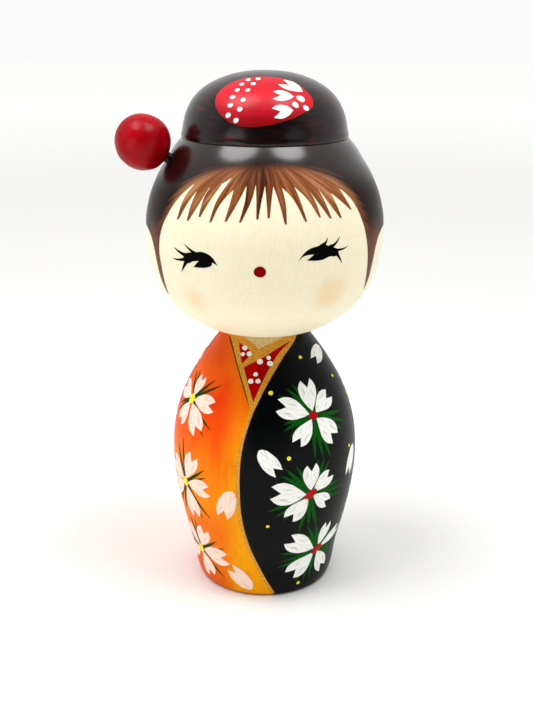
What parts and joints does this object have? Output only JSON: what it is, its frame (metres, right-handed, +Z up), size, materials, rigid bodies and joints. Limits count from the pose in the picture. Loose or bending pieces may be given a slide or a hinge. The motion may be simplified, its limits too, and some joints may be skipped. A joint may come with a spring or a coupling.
{
  "type": "kokeshi doll",
  "caption": "Turned wooden doll with a barrel body, a round head that turns on a neck dowel, a topknot and a pull-out ball hairpin.",
  "frame": {"origin": "centre of the flat base, on the turning axis of the body and head", "axes": "+Z up along the turning axis, -Y the side that the face looks towards, +X to the right of someone looking at the face"},
  "size_m": [0.0543, 0.049, 0.11],
  "materials": {
    "kimono_paint": "orange and black paint on turned wood, glossy varnish",
    "face_wood": "pale turned wood, glossy varnish, hair and features painted on",
    "hair_lacquer": "black-brown lacquer on turned wood, high gloss",
    "ball_paint": "red paint on a turned wooden bead, satin",
    "bare_wood": "bare wood, sanded",
    "flower_paint": "thick white and coloured brush strokes under varnish",
    "gold_paint": "gold brush lines under varnish"
  },
  "bodies": {
    "torso": {"body_barrel": "kimono_paint"},
    "head": {"head_ball": "face_wood", "neck_dowel": "bare_wood", "topknot": "hair_lacquer", "topknot_peg": "bare_wood"},
    "hairpin": {"hairpin_ball": "ball_paint", "hairpin_stick": "bare_wood"}
  },
  "joints": [
    {"name": "head_turn", "type": "hinge", "parent": "torso", "child": "head", "pos_m": [0, 0, 0.0574], "axis": [0, 0, 1], "continuous": true},
    {"name": "hairpin_pull", "type": "slide", "parent": "head", "child": "hairpin", "axis": [-0.8195, -0.1593, 0.5505], "range_m": [0, 0.014]}
  ]
}
